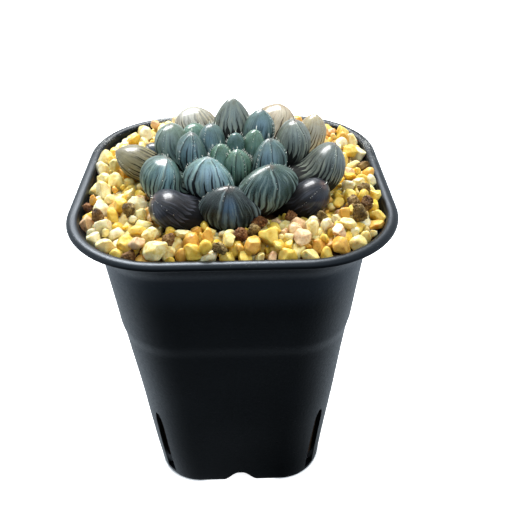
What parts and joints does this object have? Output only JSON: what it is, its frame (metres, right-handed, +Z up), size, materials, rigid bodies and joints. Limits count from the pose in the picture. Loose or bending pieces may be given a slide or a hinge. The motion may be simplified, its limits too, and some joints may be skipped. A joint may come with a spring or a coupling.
{
  "type": "potted haworthia",
  "caption": "Small window-leaved haworthia rosette in a square black nursery pot with a rolled rim, slit corners and a pale gravel top dressing.",
  "frame": {"origin": "middle of the pot's foot, on the surface it stands on", "axes": "+Z up, -Y towards the front wall, +X to the right seen from the front"},
  "size_m": [0.076, 0.076, 0.1046],
  "materials": {
    "pot": "satin black injection-moulded plastic with fine specks and light scratches",
    "soil": "dark brown potting mix",
    "gravel": "cream, yellow and ochre grains with some brown porous ones",
    "stem": "pale fleshy stem and roots",
    "leaf": "glossy translucent grey-green windows with dark veins"
  },
  "bodies": {
    "root": {"pot": "pot", "soil": "soil", "gravel": "gravel", "stem": "stem", "leaf_01": "leaf", "leaf_02": "leaf", "leaf_03": "leaf", "leaf_04": "leaf", "leaf_05": "leaf", "leaf_06": "leaf", "leaf_07": "leaf", "leaf_08": "leaf", "leaf_09": "leaf", "leaf_10": "leaf", "leaf_11": "leaf", "leaf_12": "leaf", "leaf_13": "leaf", "leaf_14": "leaf", "leaf_15": "leaf", "leaf_16": "leaf", "leaf_17": "leaf", "leaf_18": "leaf", "leaf_19": "leaf", "leaf_20": "leaf", "leaf_21": "leaf", "leaf_22": "leaf", "leaf_23": "leaf", "leaf_24": "leaf", "leaf_25": "leaf"}
  },
  "joints": []
}
